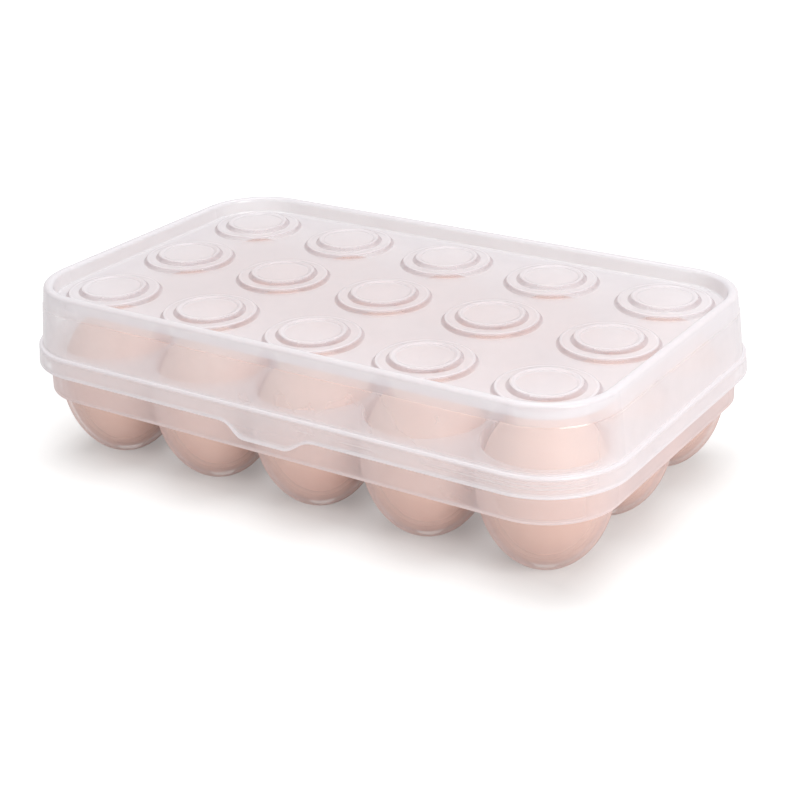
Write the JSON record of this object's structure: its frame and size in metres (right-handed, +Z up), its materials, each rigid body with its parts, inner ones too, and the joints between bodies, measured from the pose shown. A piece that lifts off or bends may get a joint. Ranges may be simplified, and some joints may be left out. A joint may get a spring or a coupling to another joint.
{
  "type": "egg holder tray",
  "caption": "Lidded egg box of clear frosted plastic: a tray of egg-shaped cups, a lift-off lid with a boss over each cup, and the eggs inside.",
  "frame": {"origin": "on the surface the box stands on, under the middle of the box: the flat foot of the middle cup", "axes": "+X along the long side, +Z up, -Y towards the front; the box is the same from the front and the back"},
  "size_m": [0.2502, 0.1556, 0.0703],
  "materials": {
    "tray": "satin",
    "lid": "satin",
    "eggshell": "matte"
  },
  "bodies": {
    "tray": {"tray": "tray"},
    "lid": {"lid": "lid"},
    "egg_front_1": {"egg_front_1": "eggshell"},
    "egg_front_2": {"egg_front_2": "eggshell"},
    "egg_front_3": {"egg_front_3": "eggshell"},
    "egg_front_4": {"egg_front_4": "eggshell"},
    "egg_front_5": {"egg_front_5": "eggshell"},
    "egg_middle_1": {"egg_middle_1": "eggshell"},
    "egg_middle_2": {"egg_middle_2": "eggshell"},
    "egg_middle_3": {"egg_middle_3": "eggshell"},
    "egg_middle_4": {"egg_middle_4": "eggshell"},
    "egg_middle_5": {"egg_middle_5": "eggshell"},
    "egg_back_1": {"egg_back_1": "eggshell"},
    "egg_back_2": {"egg_back_2": "eggshell"},
    "egg_back_3": {"egg_back_3": "eggshell"},
    "egg_back_4": {"egg_back_4": "eggshell"},
    "egg_back_5": {"egg_back_5": "eggshell"}
  },
  "joints": [
    {"name": "lid_lift", "type": "slide", "parent": "tray", "child": "lid", "axis": [0, 0, 1], "range_m": [0, 0.08]},
    {"name": "egg_front_1_play", "type": "slide", "parent": "tray", "child": "egg_front_1", "axis": [0, 0, 1], "range_m": [0, 0.0045]},
    {"name": "egg_front_2_play", "type": "slide", "parent": "tray", "child": "egg_front_2", "axis": [0, 0, 1], "range_m": [0, 0.0045]},
    {"name": "egg_front_3_play", "type": "slide", "parent": "tray", "child": "egg_front_3", "axis": [0, 0, 1], "range_m": [0, 0.0045]},
    {"name": "egg_front_4_play", "type": "slide", "parent": "tray", "child": "egg_front_4", "axis": [0, 0, 1], "range_m": [0, 0.0045]},
    {"name": "egg_front_5_play", "type": "slide", "parent": "tray", "child": "egg_front_5", "axis": [0, 0, 1], "range_m": [0, 0.0045]},
    {"name": "egg_middle_1_play", "type": "slide", "parent": "tray", "child": "egg_middle_1", "axis": [0, 0, 1], "range_m": [0, 0.0045]},
    {"name": "egg_middle_2_play", "type": "slide", "parent": "tray", "child": "egg_middle_2", "axis": [0, 0, 1], "range_m": [0, 0.0045]},
    {"name": "egg_middle_3_play", "type": "slide", "parent": "tray", "child": "egg_middle_3", "axis": [0, 0, 1], "range_m": [0, 0.0045]},
    {"name": "egg_middle_4_play", "type": "slide", "parent": "tray", "child": "egg_middle_4", "axis": [0, 0, 1], "range_m": [0, 0.0045]},
    {"name": "egg_middle_5_play", "type": "slide", "parent": "tray", "child": "egg_middle_5", "axis": [0, 0, 1], "range_m": [0, 0.0045]},
    {"name": "egg_back_1_play", "type": "slide", "parent": "tray", "child": "egg_back_1", "axis": [0, 0, 1], "range_m": [0, 0.0045]},
    {"name": "egg_back_2_play", "type": "slide", "parent": "tray", "child": "egg_back_2", "axis": [0, 0, 1], "range_m": [0, 0.0045]},
    {"name": "egg_back_3_play", "type": "slide", "parent": "tray", "child": "egg_back_3", "axis": [0, 0, 1], "range_m": [0, 0.0045]},
    {"name": "egg_back_4_play", "type": "slide", "parent": "tray", "child": "egg_back_4", "axis": [0, 0, 1], "range_m": [0, 0.0045]},
    {"name": "egg_back_5_play", "type": "slide", "parent": "tray", "child": "egg_back_5", "axis": [0, 0, 1], "range_m": [0, 0.0045]}
  ]
}
